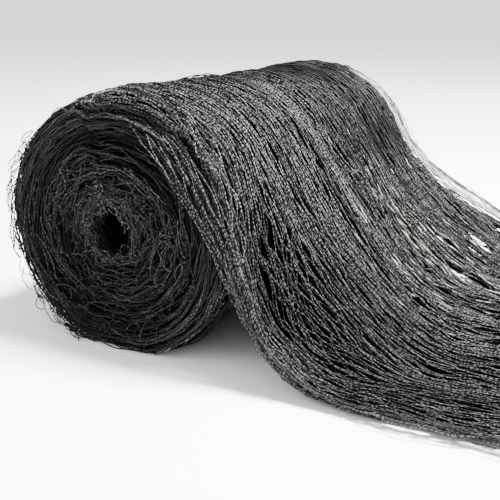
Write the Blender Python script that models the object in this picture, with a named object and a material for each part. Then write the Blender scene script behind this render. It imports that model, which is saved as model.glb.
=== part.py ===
"""Bird netting: a loosely wound roll of fine black net on its side, with its loose end laid out.

Metres, +Z up. Y runs along the roll, with the open end at -Y. X runs towards the loose end.
The origin is the middle of the flat spot that the roll rests on.
"""

import math
from collections import namedtuple

import bmesh
import bpy

MM = 0.001

# The roll
ROLL_HALF_LENGTH = 95 * MM
EVEN_HALF_LENGTH = 85 * MM
FLAT_DEPTH = 3.6 * MM
AROUND = 60
STEP_ANGLE = 104.0
OUTER_TURN = 3.9 * MM
HOLE_RADIUS = 6.5 * MM
HOLE_X = -14 * MM
HOLE_Z = 44 * MM
HOLE_DEPTH = 26 * MM
FACE_RIPPLE = 1.1 * MM
FACE_TURNS = 2.5

# The loose end
SHEET = 2.4 * MM
GAP = 1.4 * MM
START_GAP = 2.0
WRAP_POINTS = 13
DROP_POINTS = 17
FLOOR_POINTS = 10
ACROSS = 26
RIPPLE_START = 0.30

# Finishes: black net, a little greyer where it is spread
WOUND_COLOUR = (0.012, 0.012, 0.013)
WOUND_ROUGHNESS = 0.6
LOOSE_COLOUR = (0.020, 0.020, 0.021)
LOOSE_ROUGHNESS = 0.55
SHARP_ANGLE = 50.0

# The roll's girth at places along its length: how far it is squashed wide, how tall, how far it leans
Girth = namedtuple("Girth", "y half_width height centre_x")
GIRTHS = (
    Girth(-95 * MM, 51.0 * MM, 101.0 * MM, -4.0 * MM),
    Girth(-88 * MM, 54.0 * MM, 104.5 * MM, -4.0 * MM),
    Girth(-72 * MM, 55.0 * MM, 105.5 * MM, -3.5 * MM),
    Girth(-50 * MM, 54.0 * MM, 104.0 * MM, -3.0 * MM),
    Girth(-30 * MM, 53.5 * MM, 105.0 * MM, -2.5 * MM),
    Girth(-8 * MM, 53.0 * MM, 103.0 * MM, -1.5 * MM),
    Girth(14 * MM, 53.5 * MM, 104.5 * MM, -1.0 * MM),
    Girth(36 * MM, 53.0 * MM, 103.5 * MM, -0.5 * MM),
    Girth(58 * MM, 53.5 * MM, 105.0 * MM, 0.0 * MM),
    Girth(78 * MM, 53.0 * MM, 104.5 * MM, 0.5 * MM),
    Girth(90 * MM, 51.5 * MM, 102.0 * MM, 1.0 * MM),
    Girth(95 * MM, 48.5 * MM, 98.0 * MM, 1.0 * MM),
)

# Each end face from its rim to the hole: share of the way in, and how far it stands back
Face = namedtuple("Face", "inward back")
FACES = (
    Face(0.05, -1.5 * MM),
    Face(0.14, -2.5 * MM),
    Face(0.26, -2.0 * MM),
    Face(0.40, -1.0 * MM),
    Face(0.55, 0.5 * MM),
    Face(0.70, 2.0 * MM),
    Face(0.84, 3.5 * MM),
    Face(0.94, 5.0 * MM),
    Face(1.00, 8.0 * MM),
)

# Soft grooves that run round the roll and over it under the loose end, between bands of gathered net
Groove = namedtuple("Groove", "y depth half_width")
GROOVES = (
    Groove(-67 * MM, 0.8 * MM, 8 * MM),
    Groove(-38 * MM, 0.9 * MM, 10 * MM),
    Groove(-6 * MM, 0.8 * MM, 8 * MM),
    Groove(24 * MM, 1.1 * MM, 10 * MM),
    Groove(59 * MM, 0.8 * MM, 8 * MM),
)

# The loose end's course at places along its length: where it leaves the roll, how it falls and lands
Course = namedtuple("Course", "share leave_angle fall_x fall_z reach_x reach_z land_x end_x")
COURSES = (
    Course(0.00, -6.0, 56 * MM, 16 * MM, 66 * MM, 2 * MM, 82 * MM, 172 * MM),
    Course(0.06, -3.0, 57 * MM, 18 * MM, 68 * MM, 2 * MM, 87 * MM, 174 * MM),
    Course(0.14, 30.0, 62 * MM, 50 * MM, 86 * MM, 10 * MM, 114 * MM, 179 * MM),
    Course(0.26, 35.0, 62 * MM, 50 * MM, 87 * MM, 10 * MM, 119 * MM, 181 * MM),
    Course(0.50, 36.0, 62 * MM, 48 * MM, 84 * MM, 8 * MM, 126 * MM, 176 * MM),
    Course(0.75, 31.0, 61 * MM, 52 * MM, 84 * MM, 11 * MM, 138 * MM, 188 * MM),
    Course(1.00, 26.0, 55 * MM, 46 * MM, 98 * MM, 24 * MM, 148 * MM, 183 * MM),
)

# The loose end's two long edges, from the top of the roll to its cut end
Edge = namedtuple("Edge", "along near_y far_y")
EDGES = (
    Edge(0.00, -92 * MM, 92 * MM),
    Edge(0.15, -95 * MM, 93 * MM),
    Edge(0.30, -99 * MM, 94 * MM),
    Edge(0.45, -104 * MM, 96 * MM),
    Edge(0.60, -107 * MM, 99 * MM),
    Edge(0.75, -108 * MM, 103 * MM),
    Edge(0.88, -106 * MM, 106 * MM),
    Edge(1.00, -109 * MM, 104 * MM),
)

# Ripples that lift the loose end off the surface, each a soft ridge along it
Ripple = namedtuple("Ripple", "share height half_share")
RIPPLES = (
    Ripple(0.10, 3.0 * MM, 0.050),
    Ripple(0.27, 4.5 * MM, 0.055),
    Ripple(0.43, 2.5 * MM, 0.045),
    Ripple(0.60, 5.0 * MM, 0.060),
    Ripple(0.77, 3.5 * MM, 0.050),
    Ripple(0.91, 4.0 * MM, 0.045),
)


def smooth(share):
    """Ease from 0 to 1."""
    share = min(1.0, max(0.0, share))
    return share * share * (3 - 2 * share)


def read_row(rows, value):
    """A row between the table's rows, at a value of their first column, eased from row to row."""
    if value <= rows[0][0]:
        return rows[0]
    for low, high in zip(rows, rows[1:]):
        if value <= high[0]:
            share = smooth((value - low[0]) / (high[0] - low[0]))
            return type(low)(*(a + (b - a) * share for a, b in zip(low, high)))
    return rows[-1]


def bump(distance, half_width):
    """A soft ridge, 1 at its middle and 0 past its sides."""
    share = abs(distance) / half_width
    return 0.5 + 0.5 * math.cos(math.pi * share) if share < 1 else 0.0


def groove_depth(y):
    """How deep the grooves are at a place along the roll."""
    return sum(groove.depth * bump(y - groove.y, groove.half_width) for groove in GROOVES)


def wound_share(angle):
    """How far round the outer turn an angle lies, from 0 just under the loose end to 1 at the step."""
    return ((STEP_ANGLE - angle) % 360.0) / 360.0


def roll_point(y, angle, wound=None):
    """A point on the roll's outside, lower by one turn where the loose end lies over it."""
    girth = read_row(GIRTHS, y)
    wound = wound_share(angle) if wound is None else wound
    drop = OUTER_TURN * (1 - wound) + groove_depth(y)
    turn = math.radians(angle)
    x = girth.centre_x + (girth.half_width - drop) * math.cos(turn)
    z = girth.height / 2 + (girth.height / 2 - drop) * math.sin(turn)
    return x, max(0.0, z - FLAT_DEPTH)


def new_object(name, mesh, colour, roughness):
    """Link a mesh as a named object with its own material."""
    material = bpy.data.materials.new(name)
    material.use_nodes = True
    shader = material.node_tree.nodes["Principled BSDF"]
    shader.inputs["Base Color"].default_value = (*colour, 1.0)
    shader.inputs["Roughness"].default_value = roughness
    shader.inputs["Metallic"].default_value = 0.0
    mesh.materials.append(material)
    bpy.context.collection.objects.link(bpy.data.objects.new(name, mesh))


def close_mesh(name, corners, faces):
    """Make a mesh from its corners and faces, with every face turned outwards."""
    shape = bmesh.new()
    verts = [shape.verts.new(corner) for corner in corners]
    for face in faces:
        shape.faces.new([verts[index] for index in face])
    bmesh.ops.triangulate(shape, faces=shape.faces[:])
    bmesh.ops.recalc_face_normals(shape, faces=shape.faces[:])
    mesh = bpy.data.meshes.new(name)
    shape.to_mesh(mesh)
    shape.free()
    mesh.shade_smooth()
    mesh.set_sharp_from_angle(angle=math.radians(SHARP_ANGLE))
    return mesh


def roll_angles():
    """Angles once round the roll, starting just past the step."""
    return [STEP_ANGLE - 360.0 * index / AROUND for index in range(AROUND + 1)]


def outside_ring(y):
    """One ring round the outside, whose first and last points are the foot and the top of the step."""
    angles = roll_angles()
    return [(x, y, z) for x, z in (roll_point(y, a, i / AROUND) for i, a in enumerate(angles))]


def face_ring(row, end):
    """One ring of an end face, part of the way from the rim to the hole."""
    ring = []
    rim = outside_ring(end * ROLL_HALF_LENGTH)
    for index, (x, _, z) in enumerate(rim):
        turn = math.radians(roll_angles()[index])
        hole_x = HOLE_X + HOLE_RADIUS * math.cos(turn)
        hole_z = HOLE_Z + HOLE_RADIUS * math.sin(turn)
        fade = 4 * row.inward * (1 - row.inward)
        ripple = FACE_RIPPLE * fade * math.sin(turn + math.tau * FACE_TURNS * row.inward)
        ring.append((
            x + (hole_x - x) * row.inward,
            end * (ROLL_HALF_LENGTH - row.back + ripple),
            z + (hole_z - z) * row.inward,
        ))
    return ring


def hole_ring(end):
    """The ring at the bottom of an end's hole, where the soft middle has closed up."""
    y = end * (ROLL_HALF_LENGTH - HOLE_DEPTH)
    turns = [math.radians(angle) for angle in roll_angles()]
    return [(HOLE_X + HOLE_RADIUS * math.cos(t), y, HOLE_Z + HOLE_RADIUS * math.sin(t)) for t in turns]


def make_roll():
    """The wound net: one spiral section run along the roll, with dished ends and a hole in each."""
    rings = [hole_ring(-1)]
    rings += [face_ring(row, -1) for row in reversed(FACES)]
    rings += [outside_ring(girth.y) for girth in GIRTHS]
    rings += [face_ring(row, 1) for row in FACES]
    rings += [hole_ring(1)]
    corners = [corner for ring in rings for corner in ring]
    count = AROUND + 1
    faces = []
    for level in range(len(rings) - 1):
        for index in range(count):
            after = (index + 1) % count
            low, high = level * count, (level + 1) * count
            faces.append((low + index, low + after, high + after, high + index))
    faces.append(range(count))
    faces.append(range((len(rings) - 1) * count, len(rings) * count))
    return close_mesh("roll", corners, faces)


def bezier(points, share):
    """A point on a cubic curve through four control points."""
    rest = 1 - share
    weights = (rest ** 3, 3 * rest * rest * share, 3 * rest * share * share, share ** 3)
    return tuple(sum(w * p[axis] for w, p in zip(weights, points)) for axis in (0, 1))


def course_points(share, y):
    """The loose end's middle line in X and Z: over the roll, down to the surface and along it."""
    course = read_row(COURSES, share)
    lift = SHEET / 2 + GAP
    on_roll = min(EVEN_HALF_LENGTH, max(-EVEN_HALF_LENGTH, y))
    path = []
    first = STEP_ANGLE - START_GAP
    for index in range(WRAP_POINTS):
        angle = first + (course.leave_angle - first) * index / (WRAP_POINTS - 1)
        x, z = roll_point(on_roll, angle)
        turn = math.radians(angle)
        path.append((x + lift * math.cos(turn), z + lift * math.sin(turn)))
    fall = (course.fall_x, course.fall_z)
    reach = (course.reach_x, course.reach_z)
    controls = (path[-1], fall, reach, (course.land_x, SHEET / 2))
    path += [bezier(controls, index / DROP_POINTS) for index in range(1, DROP_POINTS + 1)]
    for index in range(1, FLOOR_POINTS + 1):
        x = course.land_x + (course.end_x - course.land_x) * index / FLOOR_POINTS
        path.append((x, SHEET / 2))
    return path


def sheet_grid():
    """The loose end's middle surface, rows across it from the top of the roll to the cut end."""
    total = WRAP_POINTS + DROP_POINTS + FLOOR_POINTS
    grid = []
    for level in range(total):
        along = level / (total - 1)
        edge = read_row(EDGES, along)
        row = []
        for index in range(ACROSS + 1):
            share = index / ACROSS
            y = edge.near_y + (edge.far_y - edge.near_y) * share
            x, z = course_points(share, y)[level]
            free = smooth((along - RIPPLE_START) / (1 - RIPPLE_START))
            z += free * sum(r.height * bump(share - r.share, 2 * r.half_share) for r in RIPPLES)
            row.append((x, y, z))
        grid.append(row)
    return grid


def cross(a, b):
    """The way at right angles to two others."""
    return (a[1] * b[2] - a[2] * b[1], a[2] * b[0] - a[0] * b[2], a[0] * b[1] - a[1] * b[0])


def grid_normal(grid, level, index):
    """The way out of the loose end's upper side."""
    rows, columns = len(grid), len(grid[0])
    before, after = grid[max(0, level - 1)][index], grid[min(rows - 1, level + 1)][index]
    near, far = grid[level][max(0, index - 1)], grid[level][min(columns - 1, index + 1)]
    along = [b - a for a, b in zip(before, after)]
    over = [b - a for a, b in zip(near, far)]
    normal = cross(along, over)
    size = math.sqrt(sum(part * part for part in normal))
    return [part / size for part in normal]


def make_loose_end():
    """The net's free end: a thin sheet off the roll's top that falls and runs out on the surface."""
    grid = sheet_grid()
    rows, columns = len(grid), len(grid[0])
    corners = []
    for side in (0.5, -0.5):
        for level in range(rows):
            for index in range(columns):
                point, normal = grid[level][index], grid_normal(grid, level, index)
                moved = [p + side * SHEET * n for p, n in zip(point, normal)]
                corners.append((moved[0], moved[1], max(0.0, moved[2])))
    faces = []
    lower = rows * columns
    for level in range(rows - 1):
        for index in range(columns - 1):
            a = level * columns + index
            faces.append((a, a + 1, a + columns + 1, a + columns))
            faces.append((lower + a + columns, lower + a + columns + 1, lower + a + 1, lower + a))
    rim = [index for index in range(columns - 1)]
    rim += [level * columns + columns - 1 for level in range(rows - 1)]
    rim += [(rows - 1) * columns + index for index in range(columns - 1, 0, -1)]
    rim += [level * columns for level in range(rows - 1, 0, -1)]
    for a, b in zip(rim, rim[1:] + rim[:1]):
        faces.append((b, a, lower + a, lower + b))
    return close_mesh("loose_end", corners, faces)


def build():
    """Clear the scene, then make the roll and its loose end."""
    for old in list(bpy.data.objects):
        bpy.data.objects.remove(old)
    new_object("roll", make_roll(), WOUND_COLOUR, WOUND_ROUGHNESS)
    new_object("loose_end", make_loose_end(), LOOSE_COLOUR, LOOSE_ROUGHNESS)


build()
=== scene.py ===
"""Bird netting: a wound roll of fine black knotless net and its loose end, dressed strand by strand.

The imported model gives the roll's wound form and the loose end's course. Strands of net follow both,
each joined to its neighbours by turns, so that they open into long narrow meshes.
"""

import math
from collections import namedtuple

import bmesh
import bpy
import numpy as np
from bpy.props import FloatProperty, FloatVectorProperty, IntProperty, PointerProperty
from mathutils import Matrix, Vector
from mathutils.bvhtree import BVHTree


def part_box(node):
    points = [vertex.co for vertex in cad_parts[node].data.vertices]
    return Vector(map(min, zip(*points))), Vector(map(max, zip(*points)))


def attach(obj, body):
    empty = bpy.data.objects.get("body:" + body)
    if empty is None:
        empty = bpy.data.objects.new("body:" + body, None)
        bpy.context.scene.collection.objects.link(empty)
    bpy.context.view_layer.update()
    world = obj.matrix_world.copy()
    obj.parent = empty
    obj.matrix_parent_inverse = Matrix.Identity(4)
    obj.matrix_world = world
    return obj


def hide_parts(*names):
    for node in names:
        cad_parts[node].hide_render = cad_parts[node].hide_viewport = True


bl_info = {
    "name": "Bird Netting Roll",
    "version": (1, 0, 0),
    "blender": (4, 5, 0),
    "location": "View3D > Sidebar > Netting",
    "description": "Dresses a wound roll of knotless net and its loose end with strands",
    "category": "Add Mesh",
}

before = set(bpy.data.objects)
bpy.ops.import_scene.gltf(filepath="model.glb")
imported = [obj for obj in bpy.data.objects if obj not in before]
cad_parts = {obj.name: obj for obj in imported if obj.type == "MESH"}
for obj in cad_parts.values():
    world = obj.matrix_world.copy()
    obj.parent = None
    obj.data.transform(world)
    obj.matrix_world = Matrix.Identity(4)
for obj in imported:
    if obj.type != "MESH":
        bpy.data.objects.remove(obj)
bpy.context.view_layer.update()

MM = 0.001
BODY = "root"
TWINE = "polyethylene_twine"

# The roll's own places, read from its CAD box
ROLL_LOW, ROLL_HIGH = (Vector(corner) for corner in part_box("roll"))
ROLL_MIDDLE = Vector((0.0, 0.0, (ROLL_LOW.z + ROLL_HIGH.z) / 2))
# Half the length over which the roll's girth is read, short of its rounded rims
EVEN_Y = 90.5 * MM
# Degrees round the roll from +X: where the loose end starts, and where its own turn is first drawn
STEP_ANGLE = 104.0
UNDER_ANGLE = 256.0
HOLE = Vector((-14 * MM, 0.0, 44 * MM))
# An end face's radii round the hole: the strands' rim, the dark core's rim and a mean strand's
RIM_RADIUS = 51 * MM
CORE_REACH = 46 * MM
MEAN_RADIUS = 50 * MM

# Points along a strand of the outer turn, and how unevenly they lie
STRAND_POINTS = 196
CRINKLE = 0.22 * MM
# The dark sheet under the strands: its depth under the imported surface, and its thickness
SHEET_DEPTH = 1.9 * MM
SHEET_THICKNESS = 0.3 * MM
# Strands that close an edge of the outer turn, and the depth from one to the next
EDGE_ROWS = 13
EDGE_STEP = 0.75 * MM
# Shares across: the far hem is thin past the first, and the near edge is thinned out under the second
HEM = 0.93
NEAR_EDGE = 0.045
# A grid is read just short of its last row
JUST_SHORT = 1.001


# ---------------- sizes and colours a user can change

def length_of(name, description, default):
    """A property that holds a length."""
    return FloatProperty(name=name, description=description, default=default, unit="LENGTH")


def count_of(name, description, default, low, high):
    """A property that holds a whole number."""
    return IntProperty(name=name, description=description, default=default, min=low, max=high)


def linear(code):
    """A linear colour from an sRGB hex code."""
    parts = [int(code[i:i + 2], 16) / 255 for i in (1, 3, 5)]
    return tuple(p / 12.92 if p <= 0.04045 else ((p + 0.055) / 1.055) ** 2.4 for p in parts)


def tone(name, description, code):
    """A property that holds a colour, from its sRGB hex code."""
    return FloatVectorProperty(name=name, description=description, subtype="COLOR", default=linear(code))


class NetSizes(bpy.types.PropertyGroup):
    bar: length_of("Mesh Bar", "Twine from one joint to the next", 15 * MM)
    joint: length_of("Joint", "How far two twines run together", 2.5 * MM)
    twine: length_of("Twine", "Diameter of the knitted twine", 0.56 * MM)
    stitch: length_of("Stitch", "Length of one stitch of the twine", 1.6 * MM)
    strands: count_of("Strands", "Strands side by side in one layer", 116, 8, 200)
    sides: count_of("Twine Sides", "Faces round the twine", 3, 3, 8)


class RollSizes(bpy.types.PropertyGroup):
    pitch: length_of("Turn Pitch", "One wound turn to the next", 2.5 * MM)
    hole: length_of("Hole Radius", "Radius of the coreless middle", 6.5 * MM)
    ruffle: length_of("Ruffle", "How far a turn's edge waves", 1.5 * MM)
    core_inset: length_of("Core Inset", "How far the dark core lies under the strands", 2.6 * MM)
    face_inset: length_of("Face Inset", "How much deeper it lies at the end faces", 3.0 * MM)
    recess: length_of("Face Recess", "How far the inner turns stand back from the outermost ones", 5.5 * MM)


class NetColours(bpy.types.PropertyGroup):
    dark: tone("Twine Shade", "Between the stitches", "#030303")
    # light is painted sheen, the colour of the stitches' crowns where they catch the light
    light: tone("Twine Light", "On the crowns of the stitches", "#666462")
    # pale is painted backlight, the bright floor seen through thin net, put on the strands
    pale: tone("Thin Net", "Where one thin layer stands against the light", "#c2bbb3")
    deep_layers: tone("Deep Layers", "The loose end's layers under the top ones", "#030303")
    deep_turns: tone("Deep Turns", "The wound turns under the top ones", "#161616")


class StageSettings(bpy.types.PropertyGroup):
    key: FloatProperty(name="Key Light", description="Power of the key light", default=95.0, unit="POWER")
    fill: FloatProperty(name="Fill Light", description="Power of the fill light", default=2.3, unit="POWER")
    lens: FloatProperty(name="Lens", description="Focal length in millimetres", default=59.8)


# ---------------- small tools

def plug(tree, node, inputs):
    """Link the inputs that are given a socket, and set the others."""
    for key, value in inputs.items():
        socket = node.inputs[key]
        if isinstance(value, bpy.types.NodeSocket):
            tree.links.new(value, socket)
        else:
            socket.default_value = value


def add_node(tree, kind, inputs=None, **settings):
    """Add a node with its settings and inputs."""
    node = tree.nodes.new(kind)
    for name, value in settings.items():
        setattr(node, name, value)
    plug(tree, node, inputs or {})
    return node


def math_node(tree, operation, *values, **settings):
    """The result of a Math node."""
    inputs = dict(enumerate(values))
    return add_node(tree, "ShaderNodeMath", inputs, operation=operation, **settings).outputs[0]


def mixed_colour(tree, share, first, second):
    """The colour at a share of the way from one colour to another."""
    inputs = {"Factor": share, "A": first, "B": second}
    return add_node(tree, "ShaderNodeMix", inputs, data_type="RGBA").outputs["Result"]


def new_material(name):
    """A material, its node tree and its shader."""
    material = bpy.data.materials.new(name)
    material.use_nodes = True
    tree = material.node_tree
    return material, tree, tree.nodes["Principled BSDF"]


def ease(share):
    """A smooth step from 0 to 1."""
    share = np.clip(share, 0.0, 1.0)
    return share * share * (3 - 2 * share)


def ridge(distance, half_width):
    """A soft ridge, 1 at its middle and 0 past its sides."""
    return 0.5 + 0.5 * np.cos(np.pi * np.clip(np.abs(distance) / half_width, 0.0, 1.0))


def arch(share):
    """A swell that is 0 at shares 0 and 1."""
    return np.sin(np.pi * share)


def row_of(places, y):
    """Which of a grid's evenly spaced rows y falls on, or between which two."""
    return np.clip((y - places[0]) / (places[1] - places[0]), 0, len(places) - JUST_SHORT)


def between(grid, i, j, soft=False):
    """A grid's value at places i and j between its points."""
    i0, j0 = np.floor(i).astype(int), np.floor(j).astype(int)
    a, b = i - i0, j - j0
    if soft:
        a, b = ease(a), ease(b)
    if grid.ndim == 3:
        a, b = a[:, None], b[:, None]
    return (grid[i0, j0] * (1 - a) * (1 - b) + grid[i0 + 1, j0] * a * (1 - b)
            + grid[i0, j0 + 1] * (1 - a) * b + grid[i0 + 1, j0 + 1] * a * b)


class Waves:
    """Smooth noise from -1 to 1 over two shares, the same for the same seed."""

    def __init__(self, seed, cells_u, cells_v):
        self.grid = np.random.default_rng(seed).uniform(-1, 1, (cells_u + 2, cells_v + 2))
        self.cells = (cells_u, cells_v)

    def at(self, u, v):
        """The noise at shares u and v."""
        i, j = np.clip(u, 0.0, 1.0) * self.cells[0], np.clip(v, 0.0, 1.0) * self.cells[1]
        return between(self.grid, i, j, soft=True)


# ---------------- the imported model's surfaces

def triangles(name):
    """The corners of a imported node's triangles."""
    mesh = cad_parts[name].data
    mesh.calc_loop_triangles()
    corners = np.array([v.co[:] for v in mesh.vertices])
    return corners[np.array([t.vertices[:] for t in mesh.loop_triangles])]


def tree_of(name):
    """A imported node's faces, ready for rays."""
    faces = triangles(name)
    corners = np.arange(len(faces) * 3).reshape(-1, 3)
    return BVHTree.FromPolygons(faces.reshape(-1, 3).tolist(), corners.tolist())


def slice_loop(faces, y):
    """The closed outline, in X and Z, where a node's faces cross a plane of constant Y."""
    a, b = faces, faces[:, [1, 2, 0]]
    low, high = a[..., 1] - y, b[..., 1] - y
    crossed = low * high < 0
    rows = crossed.sum(1) == 2
    with np.errstate(divide="ignore", invalid="ignore"):
        points = a + (b - a) * (low / (low - high))[..., None]
    segments = points[rows][crossed[rows]].reshape(-1, 2, 3)[..., [0, 2]]
    beside = {}
    for pair in np.round(segments, 6):
        start, end = (tuple(point) for point in pair)
        if start != end:
            beside.setdefault(start, []).append(end)
            beside.setdefault(end, []).append(start)
    first = min(beside, key=lambda p: p[0] - p[1])
    path, last, here = [first], None, first
    while len(path) <= len(beside):
        onward = [p for p in beside[here] if p != last and (p == first or p not in path[-3:])]
        if not onward or onward[0] == first:
            break
        last, here = here, onward[0]
        path.append(here)
    return np.array(path)


def resample(path, count):
    """Even points along a path."""
    steps = np.concatenate([[0], np.cumsum(np.linalg.norm(np.diff(path, axis=0), axis=1))])
    at = np.linspace(0, steps[-1], count)
    return np.stack([np.interp(at, steps, path[:, k]) for k in range(path.shape[1])], 1), steps[-1]


def upper_side(loop):
    """The upper side of a thin sheet's outline, from its start on the roll to its cut end."""
    end = int(np.argmax(loop.sum(1)))
    one = loop[:end + 1]
    other = np.vstack([loop[:1], loop[end:][::-1]])
    return max((resample(side, 160)[0] for side in (one, other)), key=lambda side: side.sum())


class RollShape:
    """The roll's radius from its middle line at any place along it and any angle round it."""
    ANGLES = 120
    PLACES = 46
    REACH = 93.5 * MM
    OUTSIDE = 0.2

    def __init__(self):
        tree = tree_of("roll")
        self.places = np.linspace(-self.REACH, self.REACH, self.PLACES)
        self.radius = np.zeros((self.PLACES, self.ANGLES + 1))
        for i, y in enumerate(self.places):
            for j in range(self.ANGLES):
                turn = math.tau * j / self.ANGLES
                way = Vector((math.cos(turn), 0, math.sin(turn)))
                hit = tree.ray_cast(Vector((0, y, ROLL_MIDDLE.z)) + way * self.OUTSIDE, -way)
                self.radius[i, j] = self.OUTSIDE - hit[3]
            self.radius[i, self.ANGLES] = self.radius[i, 0]

    def at(self, y, turn):
        """X, Z and radius at places y and angles turn, in radians."""
        i = row_of(self.places, y)
        j = (np.asarray(turn) % math.tau) / math.tau * self.ANGLES % self.ANGLES
        radius = between(self.radius, i, j)
        return radius * np.cos(turn), ROLL_MIDDLE.z + radius * np.sin(turn), radius


class CourseShape:
    """The outer turn's course: up the roll's far side, over the top, down and out along the surface."""
    PLACES = 34
    POINTS = 156
    # slices are cut a little aside, so that none runs through a row of corners
    BESIDE = 0.07 * MM

    def __init__(self, roll):
        faces = triangles("loose_end")
        self.places = np.linspace(-EVEN_Y, EVEN_Y, self.PLACES)
        grid, lengths = [], []
        turns = np.radians(np.arange(UNDER_ANGLE, STEP_ANGLE + 1, -3.0))
        for y in self.places:
            x, z, _ = roll.at(np.full(len(turns), y), turns)
            path = np.vstack([np.stack([x, z], 1), upper_side(slice_loop(faces, y + self.BESIDE))])
            points, length = resample(path, self.POINTS)
            for _ in range(3):
                points[1:-1] = (points[:-2] + 2 * points[1:-1] + points[2:]) / 4
            grid.append(points)
            lengths.append(length)
        self.grid = np.array(grid)
        self.length = float(np.mean(lengths))
        tangent = np.gradient(self.grid, axis=1)
        tangent /= np.linalg.norm(tangent, axis=2, keepdims=True)
        self.normal = np.stack([-tangent[..., 1], tangent[..., 0]], 2)
        over = np.argmax(self.grid[:, :, 1].mean(0))
        self.top_share = float(over / (self.POINTS - 1))

    def at(self, u, y):
        """X, Z and the outward X and Z at shares u along the course and places y."""
        i = row_of(self.places, y)
        k = np.clip(u, 0, 1) * (self.POINTS - JUST_SHORT)
        place, outward = between(self.grid, i, k), between(self.normal, i, k)
        return place[:, 0], place[:, 1], outward[:, 0], outward[:, 1]


ROLL = RollShape()
COURSE = CourseShape(ROLL)
WANDER = Waves(11, 9, 14)
LAYER_WANDER = [Waves(20 + layer, 11, 9) for layer in range(3)]
LAYER_GATHER = [Waves(30 + layer, 7, 15) for layer in range(3)]
LIFT = Waves(13, 30, 50)

# The layers of strands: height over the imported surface, how far the strands wander sideways, and how far
# they rise where the near margin's meshes open
Layer = namedtuple("Layer", "name height wander opened")
LAYERS = (
    Layer("top_layer_net", 0.2 * MM, 2.4 * MM, 1.2 * MM),
    Layer("middle_layer_net", -0.5 * MM, 4.2 * MM, -0.2 * MM),
    Layer("lower_layer_net", -1.1 * MM, 5.0 * MM, -0.5 * MM),
)

# The loose end's two long edges: their Y on the roll, and how much further out they lie by the cut end
EDGE_Y = 92 * MM
NEAR_SPREAD = 15.5 * MM
FAR_SPREAD = 12.5 * MM

# Places where the net parts into a long opening
Parting = namedtuple("Parting", "along across half_length half_width")
PARTINGS = tuple(Parting(*row) for row in (
    (0.735, 0.70, 0.030, 2.2 * MM),
    (0.760, 0.80, 0.035, 2.6 * MM),
    (0.800, 0.60, 0.040, 3.4 * MM),
    (0.840, 0.74, 0.045, 3.0 * MM),
    (0.870, 0.50, 0.040, 2.4 * MM),
    (0.900, 0.64, 0.045, 2.8 * MM),
    (0.930, 0.36, 0.040, 2.6 * MM),
    (0.800, 0.90, 0.050, 2.6 * MM),
    (0.905, 0.86, 0.050, 3.2 * MM),
))

# Grooves between gathered bands, darkened with painted shade: share across at the roll's top, and drift
# across by the cut end
Groove = namedtuple("Groove", "across drift half_width")
GROOVES = (
    Groove(0.385, 0.0, 1.9 * MM),
    Groove(0.610, 0.0, 1.4 * MM),
    Groove(0.180, 0.01, 0.8 * MM),
    Groove(0.835, 0.0, 1.0 * MM),
)


def scattered_partings(seed, count):
    """Small openings scattered over the part of the loose end that lies out."""
    rng = np.random.default_rng(seed)
    found = []
    for _ in range(count):
        found.append(Parting(rng.uniform(0.74, 0.975), rng.uniform(0.22, 0.93),
                             rng.uniform(0.014, 0.032), rng.uniform(1.0, 2.0) * MM))
    return tuple(found)


PARTINGS += scattered_partings(57, 34)


def tail_share(u):
    """Share of the way from the roll's top to the cut end."""
    return np.clip((u - COURSE.top_share) / (1 - COURSE.top_share), 0, 1)


def across(u, v):
    """Y at share u along the course and share v across it: the loose end spreads as it falls."""
    tail = tail_share(u)
    near = -EDGE_Y - NEAR_SPREAD * ease(tail / 0.62)
    far = EDGE_Y + FAR_SPREAD * ease((tail - 0.2) / 0.7)
    return near + (far - near) * v


def groove_line(groove, tail):
    """Share across at which a groove runs, with a slow wander."""
    return groove.across + groove.drift * tail + 0.008 * np.sin(13 * tail + 40 * groove.across)


def parted(u, y):
    """Y pushed aside by the partings and the grooves."""
    for parting in PARTINGS:
        beside = y - across(u, parting.across)
        near = np.exp(-(np.abs(beside) / (3.2 * parting.half_width)) ** 2)
        strength = ridge(u - parting.along, parting.half_length) * near
        y = y + np.where(beside >= 0, 1, -1) * parting.half_width * strength
    tail = tail_share(u)
    for groove in GROOVES:
        beside = y - across(u, groove_line(groove, tail))
        strength = np.exp(-(np.abs(beside) / (2.5 * groove.half_width)) ** 2) * ease(0.5 + tail * 8)
        strength = strength * ease((0.62 - tail) / 0.3)
        y = y + np.where(beside >= 0, 1, -1) * groove.half_width * 0.45 * strength
    return y


# ---------------- strands

def zigzag(along, bar, joint):
    """Which neighbour a strand leans to, from -1 to 1: it runs with one, crosses, then the other."""
    period = 2 * (bar + joint)
    place = (along % period) / period
    share = joint / period
    wave = np.interp(place, [0, share, 0.5, 0.5 + share, 1.0], [-1, -1, 1, 1, -1])
    return np.sin(wave * np.pi / 2) * 0.55 + wave * 0.45


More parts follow.
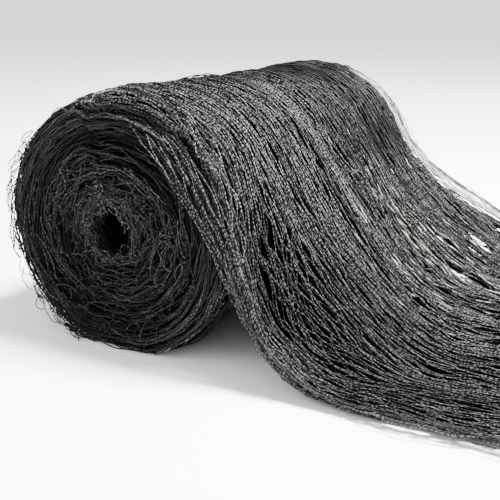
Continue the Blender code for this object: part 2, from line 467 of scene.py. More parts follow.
def twine_tree():
    """Geometry Nodes that turn skeleton lines into twine of a given diameter."""
    tree = bpy.data.node_groups.get("twine_along_lines")
    if tree:
        return tree
    tree = bpy.data.node_groups.new("twine_along_lines", "GeometryNodeTree")
    sockets = (
        ("Geometry", "INPUT", "Geometry"), ("Twine Diameter", "INPUT", "Float"),
        ("Twine Sides", "INPUT", "Int"), ("Material", "INPUT", "Material"),
        ("Geometry", "OUTPUT", "Geometry"),
    )
    for name, way, kind in sockets:
        tree.interface.new_socket(name, in_out=way, socket_type="NodeSocket" + kind)
    enter = add_node(tree, "NodeGroupInput").outputs
    curve = add_node(tree, "GeometryNodeMeshToCurve", {"Mesh": enter["Geometry"]})
    girth = add_node(tree, "GeometryNodeInputNamedAttribute", {"Name": "girth"}, data_type="FLOAT")
    sized = add_node(tree, "GeometryNodeSetCurveRadius",
                     {"Curve": curve.outputs[0], "Radius": girth.outputs["Attribute"]})
    half = math_node(tree, "MULTIPLY", enter["Twine Diameter"], 0.5)
    ring = add_node(tree, "GeometryNodeCurvePrimitiveCircle",
                    {"Resolution": enter["Twine Sides"], "Radius": half})
    tube = add_node(tree, "GeometryNodeCurveToMesh",
                    {"Curve": sized.outputs[0], "Profile Curve": ring.outputs[0], "Fill Caps": True})
    soft = add_node(tree, "GeometryNodeSetShadeSmooth", {"Geometry": tube.outputs[0], "Shade Smooth": True})
    dressed = add_node(tree, "GeometryNodeSetMaterial",
                       {"Geometry": soft.outputs[0], "Material": enter["Material"]})
    leave = add_node(tree, "NodeGroupOutput")
    tree.links.new(dressed.outputs[0], leave.inputs[0])
    return tree


def new_piece(name, mesh):
    """An object at the origin that holds a mesh."""
    piece = bpy.data.objects.new(name, mesh)
    bpy.context.scene.collection.objects.link(piece)
    return piece


def grow_twine(name, strands, net, scale=1.0):
    """Turn strands, each (points, girth, tone with its painted light and shade), into one piece of twine.
    """
    skeleton = bpy.data.meshes.new(name + "_lines")
    points = np.vstack([strand[0] for strand in strands])
    edges, along, girth, tint, start = [], [], [], [], 0
    for line, thick, glow in strands:
        count = len(line)
        index = np.arange(start, start + count)
        edges.append(np.stack([index[:-1], index[1:]], 1))
        along.append(np.concatenate([[0], np.cumsum(np.linalg.norm(np.diff(line, axis=0), axis=1))]))
        girth.append(np.broadcast_to(thick, count))
        tint.append(np.broadcast_to(glow, count))
        start += count
    skeleton.from_pydata(points.tolist(), np.vstack(edges).tolist(), [])
    # each strand's tone also carries its painted light and shade
    for key, values in (("along", along), ("girth", girth), ("tint", tint)):
        layer = skeleton.attributes.new(key, "FLOAT", "POINT")
        layer.data.foreach_set("value", np.concatenate(values).astype(np.float32))
    carrier = new_piece(name + "_lines", skeleton)
    tree = twine_tree()
    modifier = carrier.modifiers.new("twine", "NODES")
    modifier.node_group = tree
    ids = {item.name: item.identifier for item in tree.interface.items_tree if item.in_out == "INPUT"}
    modifier[ids["Twine Diameter"]] = net.twine * scale
    modifier[ids["Twine Sides"]] = net.sides
    modifier[ids["Material"]] = bpy.data.materials[TWINE]
    bpy.context.view_layer.update()
    evaluated = carrier.evaluated_get(bpy.context.evaluated_depsgraph_get())
    mesh = bpy.data.meshes.new_from_object(evaluated)
    mesh.name = name
    bpy.data.objects.remove(carrier)
    settle(new_piece(name, mesh))


def settle(piece):
    """Let a piece ride on the one body."""
    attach(piece, BODY)


def painted_light_and_shade(u, v):
    """Painted light and shade on the net, as a factor on its tone: darker low down on the near side, in the
    grooves and at the far end, darker also before the roll's top, and lighter over the near lip and across
    the middle.
    """
    tail = tail_share(u)
    ramp = 0.42 + 0.90 * ease((tail - 0.02) / 0.10) - 0.34 * ease((tail - 0.32) / 0.25)
    ramp = ramp + 0.50 * near_lip(u) * ease((0.34 - v) / 0.25) * ease((0.10 - tail) / 0.10)
    low = ease((tail - 0.25) / 0.25) * ease((0.34 - v) / 0.22)
    far = ease((v - 0.45) / 0.30) * ease((0.42 - tail) / 0.15)
    back = ease((v - 0.60) / 0.20) * ease((tail - 0.40) / 0.20)
    middle = ridge(v - 0.30, 0.26)
    light = ramp * (1 - 0.45 * low) * (1 - 0.88 * far) * (1 - 0.22 * back) * (1 + 0.22 * middle)
    # painted shade in the grooves
    for groove in GROOVES:
        beside = v - groove_line(groove, tail)
        inside = np.exp(-(beside / (groove.half_width * 6)) ** 2) * ease(tail * 12 + 0.6)
        light = light * (1 - 0.80 * inside * ease((0.55 - tail) / 0.2))
    return light


def near_lip(u):
    """Where the net rolls over the near rim on the way up to the roll's top."""
    return ridge(u - COURSE.top_share + 0.05, 0.22)


def painted_highlights(u, v, rng):
    """Painted highlights: short pale stretches where the thin loose net catches the light low down, by
    chance.
    """
    tail = tail_share(u)
    zone = ridge(tail - 0.52, 0.32) * ridge(v - 0.56, 0.34)
    coarse = rng.random(len(u) // 3 + 2)
    chance = np.repeat(coarse, 3)[:len(u)]
    streak = ridge(v - 0.60 - 0.02 * np.sin(9 * tail), 0.030) * ridge(tail - 0.50, 0.20)
    return np.where(chance < 0.18 * zone + 0.55 * streak, 0.7 + 1.2 * rng.random(len(u)), 0.0)


def gathered(u, v, layer):
    """Share across at which a layer's strand runs once the net is bunched and spread."""
    return v + (0.019 + 0.012 * ease((tail_share(u) - 0.5) / 0.3)) * LAYER_GATHER[layer].at(u, v)


def crinkle(rng, count, size):
    """Small uneven bends along one strand."""
    rough = rng.normal(0, size, count + 2)
    return (rough[:-2] + 2 * rough[1:-1] + rough[2:]) / 3


def rough_points(rng, count, size):
    """Small uneven bends in all three directions."""
    return np.stack([crinkle(rng, count, size) for _ in range(3)], 1)


def off_floor(points, net):
    """Points kept above the surface by the twine's own radius."""
    points[:, 2] = np.maximum(points[:, 2], net.twine / 2)
    return points


def course_strand(u, v, layer, net, parity, rng):
    """One strand along the outer turn's course, leaning to each neighbour by turns."""
    half = 0.5 / net.strands
    along = u * COURSE.length
    row = LAYERS[layer]
    wander = WANDER.at(u, v) * 2.2 * MM + LAYER_WANDER[layer].at(u, v) * row.wander
    phase = (net.bar + net.joint) * (1.6 * WANDER.at(v, 0.3 * layer) + 0.7 * layer)
    lean = parity * zigzag(along + phase, net.bar, net.joint)
    low, high = gathered(u, v - half, layer), gathered(u, v + half, layer)
    spacing = across(u, high) - across(u, low)
    y = across(u, (low + high) / 2) + wander * ease(u * 4) + lean * spacing * 0.47
    y = parted(u, y) + crinkle(rng, len(u), CRINKLE)
    x, z, nx, nz = COURSE.at(u, y)
    opened = np.exp(-((v - 0.08) / 0.10) ** 2) * ridge(tail_share(u) - 0.24, 0.30)
    up = row.height + row.opened * opened
    up = up + LIFT.at(u, (v * 0.97 + 0.37 * layer) % 1.0) * 0.38 * MM
    up = up + crinkle(rng, len(u), CRINKLE) - np.abs(lean) ** 4 * 0.2 * MM
    return off_floor(np.stack([x + nx * up, y, z + nz * up], 1), net)


def edge_strand(u, side, depth, net, rng, ripple):
    """A strand that closes an edge of the outer turn down towards the end face."""
    v = 0.0 if side < 0 else 1.0
    tail = tail_share(u)
    down = depth * (1 - ease((tail - 0.30) / 0.2)) + 0.3 * MM
    wave = ripple.at(u, depth / (12 * MM) % 1.0)
    y = across(u, v) + side * (0.6 * MM + 1.6 * MM * wave) - side * 0.12 * depth
    y = y + crinkle(rng, len(u), 0.3 * MM)
    x, z, nx, nz = COURSE.at(u, y)
    up = -down + crinkle(rng, len(u), 0.35 * MM)
    return off_floor(np.stack([x + nx * up, y, z + nz * up], 1), net)


# The near margin slumps round the roll's rim and hangs before the end face, and then joins the edge:
# its innermost and its outermost line, each as X, Y and Z in millimetres
INNER_MARGIN = (
    (-24, -84, 93), (-6, -91, 94), (7, -98, 88), (18, -102, 78.5), (28, -103.5, 67.5), (39, -104, 53.5),
    (49, -104, 36.5), (58, -104.5, 19.5), (70, -105, 7), (84, -106, 2), (104, -106, 1),
)
OUTER_MARGIN = (
    (-8, -80, 97), (13, -86, 96), (28, -92, 89), (39, -97, 80), (47.5, -100.5, 68), (54, -102.5, 54),
    (59, -104, 37), (65, -105, 20), (76, -106, 7), (92, -107, 2.5), (112, -107, 1.5),
)
# Strands in each of the margin's layers, and how far the layer lies behind the first
MARGIN_LAYERS = ((12, 0.0), (10, 1.6 * MM))


def smooth_line(points, count):
    """A line along the table's points with its corners rounded, at even steps, and its length."""
    points = np.array(points, float) * MM
    for _ in range(3):
        cut = np.empty((2 * len(points), 3))
        cut[0], cut[-1] = points[0], points[-1]
        cut[1:-1:2] = points[:-1] * 0.75 + points[1:] * 0.25
        cut[2::2] = points[:-1] * 0.25 + points[1:] * 0.75
        points = cut
    return resample(points, count)


def margin_strands(net, rng):
    """Strands of the near margin, in open lens-shaped meshes a few layers deep."""
    count = 120
    inner, length = smooth_line(INNER_MARGIN, count)
    outer, _ = smooth_line(OUTER_MARGIN, count)
    along = np.linspace(0, length, count)
    strands = []
    for layer, (lines, back) in enumerate(MARGIN_LAYERS):
        sway = Waves(90 + layer, 7, 4)
        for index in range(lines):
            own = (index + 0.5) / lines
            lean = (-1) ** index * zigzag(along + (layer * 0.37 + 0.2 * own) * net.bar, net.bar, net.joint)
            share = own + lean * 0.47 / lines + sway.at(along / length, own) * 0.13
            line = inner + (outer - inner) * share[:, None]
            line[:, 1] += back + np.abs(lean) * 0.5 * MM - ease(1 - np.abs(2 * own - 1)) * 0.8 * MM
            line += rough_points(rng, count, CRINKLE)
            run = along / length
            # painted shade on the back layer, which is darker; each strand is also darker at its start and
            # towards its lower end
            tint = rng.uniform(0.30, 0.80) * (1 - 0.40 * layer) * (1 - 0.35 * ease((run - 0.5) / 0.3))
            tint = tint * (0.12 + 0.88 * ease((run - 0.06) / 0.26))
            first = int(rng.integers(0, 16))
            strands.append((off_floor(line, net)[first:], rng.uniform(0.9, 1.15), tint[first:]))
    return strands


# ---------------- materials

# Noise cells to the metre: the painted sheen drifts over about 4 mm, and filaments clump over about 1 mm
DRIFT_CELLS = 260.0
CLUMP_CELLS = 900.0
# Deep layers show grey runs about 17 mm long and 1.1 mm wide
RUN_CELLS = (60.0, 900.0, 1.0)


def twine_material(name, colours, stitch):
    """Knitted polyethylene twine: black filaments with a fine stitch along it, a faint gloss, and a grey
    painted sheen on the stitches' crowns.
    """
    material, tree, shader = new_material(name)
    along = add_node(tree, "ShaderNodeAttribute", attribute_name="along").outputs["Fac"]
    # the strands' tone, which also carries their painted light and shade
    tint = add_node(tree, "ShaderNodeAttribute", attribute_name="tint").outputs["Fac"]
    place = add_node(tree, "ShaderNodeTexCoord").outputs["Object"]
    # painted sheen: each stitch's loop shows as a short bright crown, and no two catch the light alike
    drift = add_node(tree, "ShaderNodeTexNoise", {"Vector": place, "Scale": DRIFT_CELLS, "Detail": 1.0})
    turn = math_node(tree, "MULTIPLY", along, math.tau / stitch)
    moved = math_node(tree, "MULTIPLY_ADD", drift.outputs["Fac"], 16.0, turn)
    wave = math_node(tree, "SINE", moved)
    noise = add_node(tree, "ShaderNodeTexNoise", {"Vector": place, "Scale": CLUMP_CELLS, "Detail": 2.0})
    crowns = math_node(tree, "MULTIPLY_ADD", wave, 0.16, noise.outputs["Fac"])
    lit = add_node(tree, "ShaderNodeMapRange", {"Value": crowns, "From Min": 0.42, "From Max": 0.70})
    glow = math_node(tree, "MULTIPLY", lit.outputs[0], tint)
    colour = mixed_colour(tree, glow, (*colours[0], 1), (*colours[1], 1))
    # a value above 1 is thin net against the light, painted backlight: it goes on towards a warm pale grey
    over = math_node(tree, "SUBTRACT", tint, 1.0, use_clamp=True)
    colour = mixed_colour(tree, over, colour, (*colours[2], 1))
    rough = add_node(tree, "ShaderNodeMapRange", {"Value": lit.outputs[0], "To Min": 0.62, "To Max": 0.40})
    bump = add_node(tree, "ShaderNodeBump", {"Height": crowns, "Strength": 0.6, "Distance": 0.25 * MM})
    plug(tree, shader, {
        "Base Color": colour, "Roughness": rough.outputs[0], "Normal": bump.outputs[0],
        "Specular IOR Level": 0.13, "IOR": 1.5,
    })
    return material


def deep_material(name, colour):
    """Deeper layers of the same net: matt black with fine grey runs along the strands."""
    material, tree, shader = new_material(name)
    place = add_node(tree, "ShaderNodeTexCoord").outputs["UV"]
    sized = add_node(tree, "ShaderNodeMapping", {"Vector": place, "Scale": RUN_CELLS})
    fine = add_node(tree, "ShaderNodeTexNoise",
                    {"Vector": sized.outputs[0], "Scale": 1.0, "Detail": 4.0, "Roughness": 0.6})
    ramp = add_node(tree, "ShaderNodeMapRange",
                    {"Value": fine.outputs["Fac"], "From Min": 0.48, "From Max": 0.72})
    dark = (*[c * 0.35 for c in colour], 1)
    runs = mixed_colour(tree, ramp.outputs[0], dark, (*colour, 1))
    bump = add_node(tree, "ShaderNodeBump",
                    {"Height": fine.outputs["Fac"], "Strength": 0.8, "Distance": 0.8 * MM})
    plug(tree, shader, {
        "Base Color": runs, "Normal": bump.outputs[0],
        "Roughness": 0.75, "Specular IOR Level": 0.0,
    })
    return material


# ---------------- operators

class NETTING_OT_core(bpy.types.Operator):
    """The roll's dark inside: the wound layers under the strands, with the hollow middle"""
    bl_idname = "netting.core"
    bl_label = "Roll Core"

    def execute(self, context):
        sizes, colours = context.scene.roll_sizes, context.scene.net_colours
        shape = bmesh.new()
        shape.from_mesh(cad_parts["roll"].data)
        bmesh.ops.remove_doubles(shape, verts=shape.verts[:], dist=0.00001)
        bmesh.ops.subdivide_edges(shape, edges=shape.edges[:], cuts=1, use_grid_fill=True)
        shape.normal_update()
        for vert in shape.verts:
            inset = sizes.core_inset
            if abs(vert.normal.y) > 0.5:
                reach = math.hypot(vert.co.x - HOLE.x, vert.co.z - HOLE.z) / CORE_REACH
                inset += sizes.face_inset + float(face_recess(np.array(reach), sizes.recess))
            vert.co -= vert.normal * inset
            vert.co.z = max(vert.co.z, 0.4 * MM)
        layer = shape.loops.layers.uv.new("UVMap")
        for face in shape.faces:
            for loop in face.loops:
                spot = loop.vert.co - ROLL_MIDDLE
                radius = math.hypot(spot.x, spot.z)
                loop[layer].uv = (math.atan2(spot.z, spot.x) * 0.05, spot.y + radius)
        mesh = bpy.data.meshes.new("roll_core")
        shape.to_mesh(mesh)
        shape.free()
        mesh.shade_smooth()
        mesh.materials.append(deep_material("wound_polyethylene_net", colours.deep_turns))
        piece = new_piece("roll_core", mesh)
        settle(piece)
        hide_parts("roll")
        return {"FINISHED"}


class NETTING_OT_faces(bpy.types.Operator):
    """The two end faces: the edges of the wound turns, ruffled, round the hollow middle"""
    bl_idname = "netting.faces"
    bl_label = "End Faces"

    def execute(self, context):
        net, roll = context.scene.net_sizes, context.scene.roll_sizes
        tree = tree_of("roll")
        for name, end, seed, rows in (("near_face_net", -1, 31, 14), ("far_face_net", 1, 47, 9)):
            strands = face_strands(net, roll, tree, end, seed, rows)
            strands += face_curls(net, roll, tree, end, seed + 9)
            if end < 0:
                strands += hanging_tongue(roll, tree, end, seed + 11)
            grow_twine(name, strands, net)
        return {"FINISHED"}


def face_recess(out, recess):
    """How far the inner turns stand back, at a share of the way out from the hole."""
    return recess * ease((0.90 - out) / 0.14)


def face_point(tree, end, turn, out, lift, roll):
    """Points on an end face at angles round the hole and shares of the way out, lifted off it."""
    rim_x, rim_z, _ = ROLL.at(end * EDGE_Y, turn)
    x = HOLE.x * (1 - out) + rim_x * out
    z = HOLE.z + (ROLL_MIDDLE.z - HOLE.z) * out + (rim_z - ROLL_MIDDLE.z) * out
    y = face_depth(tree, x, z, end) + end * (lift - face_recess(out, roll.recess))
    return np.stack([x, y, z], 1)


# Points this far apart along a wound turn's edge, and how unevenly they lie
FACE_STEP = 2.0 * MM
FACE_CRINKLE = 0.24 * MM
# How far out an end face lies, and short of what a ray has met the hollow instead
FACE_Y = 94 * MM
HOLLOW_Y = 84 * MM
# Loose curls tried on an end face, loops over its hole, and how many of those droop from its top
FACE_CURLS = 260
HOLE_LOOPS = 30
DROOPING = 18


def face_strands(net, roll, tree, end, seed, rows):
    """Strands of each wound turn's edge, from the hole out to the rim, at a few depths."""
    rng = np.random.default_rng(seed)
    turns = int((RIM_RADIUS - roll.hole) / roll.pitch)
    sizes = ((12, 4), (34, 9), (16, 6), (22, 5), (5, 2))
    waves = [Waves(seed + index, turns * long, short) for index, (long, short) in enumerate(sizes)]
    angles = [0.0]
    while angles[-1] < math.tau * turns:
        radius = roll.hole + (RIM_RADIUS - roll.hole) * angles[-1] / (math.tau * turns)
        angles.append(angles[-1] + FACE_STEP / radius)
    angles = np.array(angles)
    share = angles / angles[-1]
    start = (roll.hole + 2.0 * MM) / RIM_RADIUS
    strands = []
    for row in range(rows):
        own = row / rows
        sheet = row % 2 == 0
        depth = (0.9 * (row // 2) if sheet else rng.uniform(0.5, 5.5)) * MM
        aside = 0.0 if sheet else rng.uniform(0.15, 0.85) * roll.pitch
        out = start + (1.03 - start) * share + aside / RIM_RADIUS
        size = roll.ruffle * (1.6 - 0.8 * out)
        wave = waves[0].at(share, 0.05 * own if sheet else own)
        curl, push, glow = (waves[index].at(share, own) for index in (1, 2, 3))
        band = waves[4].at(share, 0.0)
        along = share * 3000 * MM + row * net.bar * 0.6
        lean = zigzag(along, net.bar * 0.6, net.joint) * (-1) ** (row // 2)
        out = out + (wave * size + curl * 0.7 * MM - 0.25 * depth) / RIM_RADIUS
        out = np.maximum(out, (roll.hole + 1.3 * MM + curl * 0.6 * MM) / RIM_RADIUS)
        # painted shadow: a dark crescent under the outermost turns, over the hole, where the strands also
        # sit back
        shadow_crescent = np.exp(-((out - 0.80) / 0.065) ** 2) * ease(0.5 + 0.62 * np.sin(angles + 0.15))
        lift = (1.4 + 1.6 * push + 0.9 * lean + 1.6 * band - 2.2 * shadow_crescent) * MM - depth
        # painted shade: deeper rows are darker and the inner turns darker towards the hole; the bands that
        # stand out are lighter
        tint = 0.40 + 0.45 * glow - 0.06 * depth / MM
        tint = tint * (0.20 + 0.34 * out) * (0.75 + 0.9 * band)
        tint = tint * (1 - 0.93 * shadow_crescent) * (1 - 0.8 * ease((0.27 - out) / 0.09))
        # and the rim in the shadow of the loose end
        shadow = ease((out - 0.72) / 0.15) * ridge((angles + 0.45) % math.tau - 0.30, 1.1)
        tint = np.clip(tint * (1 - 0.75 * shadow), 0.01, 0.7)
        line = face_point(tree, end, angles, out, lift, roll)
        line += rough_points(rng, len(angles), FACE_CRINKLE)
        strands.append((off_floor(line, net), rng.uniform(0.75, 1.0), tint))
    return strands


def face_curls(net, roll, tree, end, seed):
    """Short loose curls of net that stand off an end face, most of them near the hole.

    None lies on the smooth outer turns over the hole.
    """
    rng = np.random.default_rng(seed)
    strands = []
    for _ in range(FACE_CURLS):
        out0 = 0.24 + 0.60 * rng.random() ** 1.6
        length = rng.uniform(9, 30) * MM
        t = np.linspace(0, 1, max(6, int(length / (1.3 * MM))))
        span = length / (out0 * MEAN_RADIUS)
        curl = rng.uniform(1.2, 3.0) * MM / MEAN_RADIUS * rng.choice((1.0, 0.45))
        cycles = rng.uniform(0.6, 2.4)
        phase = rng.uniform(0, math.tau)
        first = rng.uniform(0, math.tau)
        turn = first + span * (t + 0.10 * np.sin(math.tau * cycles * t + phase + 1.5))
        if out0 > 0.60 and math.sin(first + 0.3) > 0.1:
            continue
        out = out0 + curl * np.sin(math.tau * cycles * t + phase) + rng.uniform(-0.05, 0.05) * t
        lift = (1.6 + 2.2 * arch(t) * rng.random()) * MM
        line = face_point(tree, end, turn, np.clip(out, 0.20, 1.04), lift, roll)
        # painted shade: curls nearer the hole are darker
        tint = rng.uniform(0.15, 0.6) * (0.4 + 0.4 * out0)
        strands.append((off_floor(line, net), rng.uniform(0.7, 0.95), tint))
    return strands


def hanging_tongue(roll, tree, end, seed):
    """Curly loops of the innermost turns that droop over the hole."""
    rng = np.random.default_rng(seed)
    strands = []
    for index in range(HOLE_LOOPS):
        t = np.linspace(0, 1, 20)
        reach = rng.uniform(5.0, 12.0) * MM
        turn = rng.uniform(0, math.tau)
        droop = index < DROOPING
        start_x = HOLE.x + (rng.uniform(-5.0, 3.0) * MM if droop else 9.5 * MM * math.cos(turn))
        start_z = rng.uniform(58, 66) * MM if droop else HOLE.z + 9.5 * MM * math.sin(turn)
        curl = rng.uniform(0.8, 2.2) * MM
        phase = rng.uniform(0, math.tau)
        cycles = rng.uniform(0.8, 1.9)
        x = start_x + curl * np.sin(math.tau * cycles * t + phase) + rng.uniform(-3, 4) * MM * t
        z = start_z + curl * np.cos(math.tau * cycles * t + phase) - reach * t * (1.0 if droop else 0.15)
        z = np.maximum(z, 50.5 * MM) if droop else z
        y = face_depth(tree, x, z, end) + end * (rng.uniform(1.5, 4.5) * MM - face_recess(0.4, roll.recess))
        line = np.stack([x, y, z], 1) + rough_points(rng, len(t), 0.25 * MM)
        strands.append((line, rng.uniform(0.8, 1.05), rng.uniform(0.25, 0.75)))
    return strands


def face_depth(tree, x, z, end):
    """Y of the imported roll's end face at places x and z; over the hollow, what it was just before."""
    found = np.zeros(len(x))
    last = end * FACE_Y
    for index, (px, pz) in enumerate(zip(x, z)):
        hit = tree.ray_cast(Vector((px, end * 0.2, pz)), Vector((0, -end, 0)))
        deep = abs(hit[0].y) if hit[0] is not None else 0.0
        last = end * deep if deep > HOLLOW_Y else last
        found[index] = last
    return found


# Strands of the turn under the loose end
UNDER_STRANDS = 70


class NETTING_OT_under(bpy.types.Operator):
    """The turn under the loose end: strands round the roll's underside and covered side"""
    bl_idname = "netting.under"
    bl_label = "Under Turn"

    def execute(self, context):
        net = context.scene.net_sizes
        spacing = 2 * EVEN_Y / UNDER_STRANDS
        strands = []
        rng = np.random.default_rng(5)
        turns = np.radians(np.arange(236.0, 430.0, 3.2))
        for index in range(UNDER_STRANDS):
            y = np.full_like(turns, -EVEN_Y + spacing * (index + 0.5))
            lean = zigzag(turns * 50 * MM, net.bar, net.joint) * (-1) ** index
            y = y + lean * spacing / 2 + rng.normal(0, 0.3 * MM)
            x, z, radius = ROLL.at(y, turns)
            shrink = 1 - (0.5 + 0.4 * rng.random()) * MM / radius
            x, z = x * shrink, ROLL_MIDDLE.z + (z - ROLL_MIDDLE.z) * shrink
            line = off_floor(np.stack([x, y, z], 1), net)
            strands.append((line, 1.0, 0.35 + 0.3 * rng.random()))
        grow_twine("under_turn_net", strands, net)
        return {"FINISHED"}


class NETTING_OT_sheet(bpy.types.Operator):
    """The loose end's under layers: a thin dark sheet on the loose end's folds, open where it parts"""
    bl_idname = "netting.sheet"
    bl_label = "Loose Sheet"

    def execute(self, context):
        columns, rows = 150, 120
        first = COURSE.top_share - 0.01
        rng = np.random.default_rng(83)
        verts, uvs = [], []
        for v in np.linspace(0.012, HEM, columns):
            u = np.linspace(first, 0.984 - 0.016 * rng.random(), rows)
            y = across(u, v) + WANDER.at(u, v) * 2.6 * MM
            x, z, nx, nz = COURSE.at(u, y)
            up = LIFT.at(u, v) * 0.15 * MM - SHEET_DEPTH
            verts += np.stack([x + nx * up, y, np.maximum(z + nz * up, SHEET_THICKNESS)], 1).tolist()
            uvs += np.stack([u * COURSE.length, y], 1).tolist()
        places = np.array(uvs).reshape(columns, rows, 2)
        middle_y = (places[:-1, :-1, 1] + places[1:, :-1, 1]) / 2
        whole = ~in_parting(places[:-1, :-1, 0] / COURSE.length, middle_y)
        faces = []
        for column, row in zip(*np.nonzero(whole)):
            a = int(column) * rows + int(row)
            faces.append((a, a + 1, a + rows + 1, a + rows))
        mesh = bpy.data.meshes.new("loose_sheet")
        mesh.from_pydata(verts, [], faces)
        layer = mesh.uv_layers.new(name="UVMap")
        for loop in mesh.loops:
            layer.data[loop.index].uv = uvs[loop.vertex_index]
        mesh.shade_smooth()
        colours = context.scene.net_colours
        mesh.materials.append(deep_material("loose_polyethylene_net", colours.deep_layers))
        piece = new_piece("loose_sheet", mesh)
        thick = piece.modifiers.new("thickness", "SOLIDIFY")
        thick.thickness = SHEET_THICKNESS
        thick.offset = 1.0
        settle(piece)
        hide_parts("loose_end")
        return {"FINISHED"}


def in_parting(u, y):
    """Which places on the loose end lie inside one of its openings."""
    inside = np.zeros(u.shape, bool)
    for parting in PARTINGS:
        middle = across(u, parting.across)
        opened = parting.half_width * ridge(u - parting.along, parting.half_length)
        inside |= np.abs(y - middle) < 0.85 * opened
    return inside


class NETTING_OT_strands(bpy.types.Operator):
    """The outer turn and loose end: layers of strands that open into long narrow meshes"""
    bl_idname = "netting.strands"
    bl_label = "Outer Strands"

    def execute(self, context):
        net = context.scene.net_sizes
        u = np.linspace(0, 1, STRAND_POINTS)
        for layer, row in enumerate(LAYERS):
            rng = np.random.default_rng(101 + layer)
            grow_twine(row.name, layer_strands(u, layer, net, rng), net)
        rng = np.random.default_rng(77)
        strands = edge_strands(u, net, rng) + margin_strands(net, rng)
        grow_twine("edge_net", strands, net)
        return {"FINISHED"}


def layer_strands(u, layer, net, rng):
    """One layer's strands from the near edge to the far hem, packed closer towards the near edge."""
    strands = []
    count = len(u)
    tail = tail_share(u)
    loose = ease((tail - 0.02) / 0.08)
    for index in range(net.strands):
        v = (index + 0.5) / net.strands
        v -= 0.060 * math.sin(math.pi * min(v / 0.40, 1.0))
        near = layer == 0 and v < NEAR_EDGE
        if (near and index % 2) or (layer == 2 and v > HEM):
            continue
        parity = 2 * (-1) ** (index // 2) if near else (-1) ** index
        line = course_strand(u, v, layer, net, parity, rng)
        end = count - int(rng.integers(0, 6))
        # painted light and shade over the net, and painted shade that deepens in the lower layers
        tint = np.minimum(rng.uniform(0.32, 1.0) * painted_light_and_shade(u, v) * (1 - 0.12 * layer), 1.0)
        # painted shade on the lower layers at the near edge, under the top one
        if layer and v < NEAR_EDGE:
            shade_under_top = ease(tail / 0.06) * ease((0.5 - tail) / 0.15)
            tint = tint * (1 - 0.70 * shade_under_top)
        # painted backlight past the hem, where the loose thin net turns pale, and painted highlights
        # elsewhere
        if v > HEM:
            tint = tint + (0.9 + 0.9 * rng.random() - tint) * loose
        elif layer < 2:
            tint = np.maximum(tint, painted_highlights(u, v, rng))
        girth = np.full(count, rng.uniform(0.8, 1.1))
        if v > HEM:
            girth = girth * (1 - 0.52 * loose)
        strands.append((line[:end], girth[:end], tint[:end]))
    return strands


def edge_strands(u, net, rng):
    """Strands that close both edges of the outer turn down towards the end faces."""
    strands = []
    for side in (-1, 1):
        ripple = Waves(80 + side, 44, 5)
        for index in range(EDGE_ROWS):
            line = edge_strand(u, side, EDGE_STEP * index, net, rng, ripple)
            end = len(u) - int(rng.integers(3, 30)) if side > 0 else len(u)
            # painted shade as on the layers; on the near side painted light over the lip, less on deeper
            # rows; on the far side painted backlight towards the cut end
            tint = rng.uniform(0.08, 0.25) * painted_light_and_shade(u, 0.1)
            if side < 0:
                tint = tint + rng.uniform(0.35, 1.1) * (1 - index / 15) * near_lip(u)
            else:
                tint = tint + 0.9 * ease((tail_share(u) - 0.3) / 0.3)
            strands.append((line[:end], rng.uniform(0.8, 1.05), tint[:end]))
    return strands


# Stray loops on the roll's side, pale ones round the near rim's lower half, and ones round each end's rim
SIDE_LOOPS = 240
PALE_LOOPS = 70
RIM_LOOPS = 60


class NETTING_OT_strays(bpy.types.Operator):
    """Loose loops and open single layers that stand off the roll's far side and its lower edge"""
    bl_idname = "netting.strays"
    bl_label = "Stray Loops"

    def execute(self, context):
        net = context.scene.net_sizes
        rng = np.random.default_rng(61)
        strands = []
        for _ in range(SIDE_LOOPS):
            middle = rng.uniform(142, 250)
            span = rng.uniform(4, 13)
            t = np.linspace(0, 1, max(7, int(span * 0.9)))
            turn = np.radians(middle + span * (t - 0.5))
            y0 = -98 * MM + 60 * MM * rng.random() ** 2.2
            y = y0 + rng.uniform(-4, 4) * MM * t + rng.uniform(-1, 1) * 2.5 * MM * arch(t)
            proud = (0.4 + 2.5 * rng.random() ** 1.8) * MM * math.exp(-((middle - 196) / 42) ** 2)
            strands.append(stray_loop(net, rng, y, turn, proud * arch(t) ** 0.8))
        for _ in range(PALE_LOOPS):
            t = np.linspace(0, 1, 9)
            turn = np.radians(rng.uniform(205, 305) + rng.uniform(4, 8) * (t - 0.5))
            y = -93 * MM - rng.uniform(1.5, 4.5) * MM * arch(t)
            line, girth, _ = stray_loop(net, rng, y, turn, 0.5 * MM * arch(t))
            # tones over 1 mix in the pale painted backlight colour
            strands.append((line, girth, rng.uniform(0.6, 1.35)))
        for side in (-1, 1):
            for _ in range(RIM_LOOPS):
                t = np.linspace(0, 1, 12)
                middle = rng.uniform(120, 425) if side > 0 else rng.uniform(215, 390)
                turn = np.radians(middle + rng.uniform(8, 20) * (t - 0.5))
                y = side * (91 * MM + rng.uniform(0.5, 6.0) * MM * arch(t))
                strands.append(stray_loop(net, rng, y, turn, rng.uniform(-2.5, 1.0) * MM + 0 * t))
        grow_twine("stray_loops", strands, net, scale=0.9)
        return {"FINISHED"}


def stray_loop(net, rng, y, turn, proud):
    """One loop that leaves the roll's side and comes back to it."""
    x, z, radius = ROLL.at(np.clip(y, -93 * MM, 93 * MM), turn)
    grow = 1 + (0.3 * MM + proud + crinkle(rng, len(turn), 0.25 * MM)) / radius
    line = np.stack([x * grow, y + crinkle(rng, len(turn), 0.3 * MM),
                     ROLL_MIDDLE.z + (z - ROLL_MIDDLE.z) * grow], 1)
    return off_floor(line, net), rng.uniform(0.7, 1.0), rng.uniform(0.1, 0.6)


# The camera: where it stands and which way it looks
CAMERA_PLACE = (0.1862, -0.3429, 0.1342)
CAMERA_WAY = Vector((-0.449, 0.8444, -0.2924))


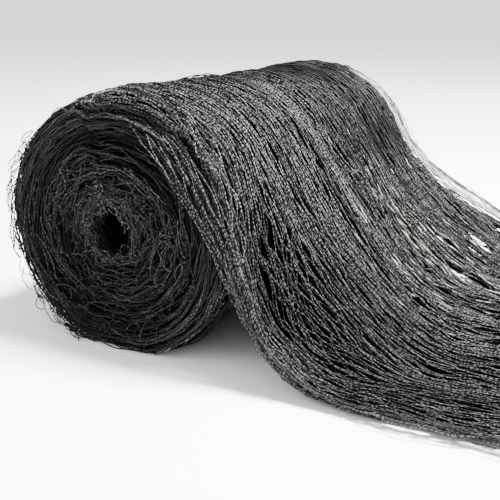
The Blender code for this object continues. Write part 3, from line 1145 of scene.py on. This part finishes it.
class NETTING_OT_stage(bpy.types.Operator):
    """A plain pale floor, soft studio light and the camera"""
    bl_idname = "netting.stage"
    bl_label = "Stage"

    def execute(self, context):
        settings = context.scene.net_stage
        mesh = bpy.data.meshes.new("floor")
        half = 3.0
        corners = [(-half, -half, 0), (half, -half, 0), (half, half, 0), (-half, half, 0)]
        mesh.from_pydata(corners, [], [(0, 1, 2, 3)])
        floor = new_piece("floor", mesh)
        material, tree, shader = new_material("pale_floor")
        plug(tree, shader, {"Base Color": (*linear("#fafaf9"), 1), "Roughness": 0.9})
        mesh.materials.append(material)
        world = bpy.data.worlds.new("studio")
        world.use_nodes = True
        tree = world.node_tree
        plug(tree, tree.nodes["Background"], {"Color": (*linear("#ffffff"), 1), "Strength": 1.7})
        context.scene.world = world
        lights = (
            ("key", (0.40, 0.10, 0.80), settings.key, 0.25),
            ("fill", (-0.45, -0.55, 0.6), settings.fill, 0.5),
        )
        for name, place, power, size in lights:
            data = bpy.data.lights.new(name, "AREA")
            data.energy = power
            data.size = size
            lamp = bpy.data.objects.new(name, data)
            lamp.location = place
            aim = Vector((0.03, 0, 0.05)) - Vector(place)
            lamp.rotation_euler = aim.to_track_quat("-Z", "Y").to_euler()
            context.scene.collection.objects.link(lamp)
        data = bpy.data.cameras.new("camera")
        data.lens = settings.lens
        camera = bpy.data.objects.new("camera", data)
        camera.location = CAMERA_PLACE
        camera.rotation_euler = CAMERA_WAY.to_track_quat("-Z", "Y").to_euler()
        context.scene.collection.objects.link(camera)
        context.scene.camera = camera
        return {"FINISHED"}


class NETTING_PT_panel(bpy.types.Panel):
    bl_idname = "NETTING_PT_panel"
    bl_label = "Netting"
    bl_space_type = "VIEW_3D"
    bl_region_type = "UI"
    bl_category = "Netting"

    def draw(self, context):
        for name in GROUPS:
            group = getattr(context.scene, name)
            box = self.layout.box()
            for key in group.bl_rna.properties.keys():
                if key not in ("rna_type", "name"):
                    box.prop(group, key)
        for step in STEPS:
            self.layout.operator(step.bl_idname)


GROUPS = {
    "net_sizes": NetSizes,
    "roll_sizes": RollSizes,
    "net_colours": NetColours,
    "net_stage": StageSettings,
}
STEPS = (
    NETTING_OT_core, NETTING_OT_faces, NETTING_OT_under, NETTING_OT_sheet, NETTING_OT_strands,
    NETTING_OT_strays, NETTING_OT_stage,
)


def register():
    for kind in (*GROUPS.values(), *STEPS, NETTING_PT_panel):
        bpy.utils.register_class(kind)
    for name, kind in GROUPS.items():
        setattr(bpy.types.Scene, name, PointerProperty(type=kind))


def unregister():
    for name in GROUPS:
        delattr(bpy.types.Scene, name)
    for kind in (NETTING_PT_panel, *reversed(STEPS), *reversed(GROUPS.values())):
        bpy.utils.unregister_class(kind)


def main():
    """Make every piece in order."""
    register()
    scene = bpy.context.scene
    colours = scene.net_colours
    twine_material(TWINE, (colours.dark, colours.light, colours.pale), scene.net_sizes.stitch)
    bpy.ops.netting.core()
    bpy.ops.netting.faces()
    bpy.ops.netting.under()
    bpy.ops.netting.sheet()
    bpy.ops.netting.strands()
    bpy.ops.netting.strays()
    bpy.ops.netting.stage()


if __name__ == "__main__":
    main()
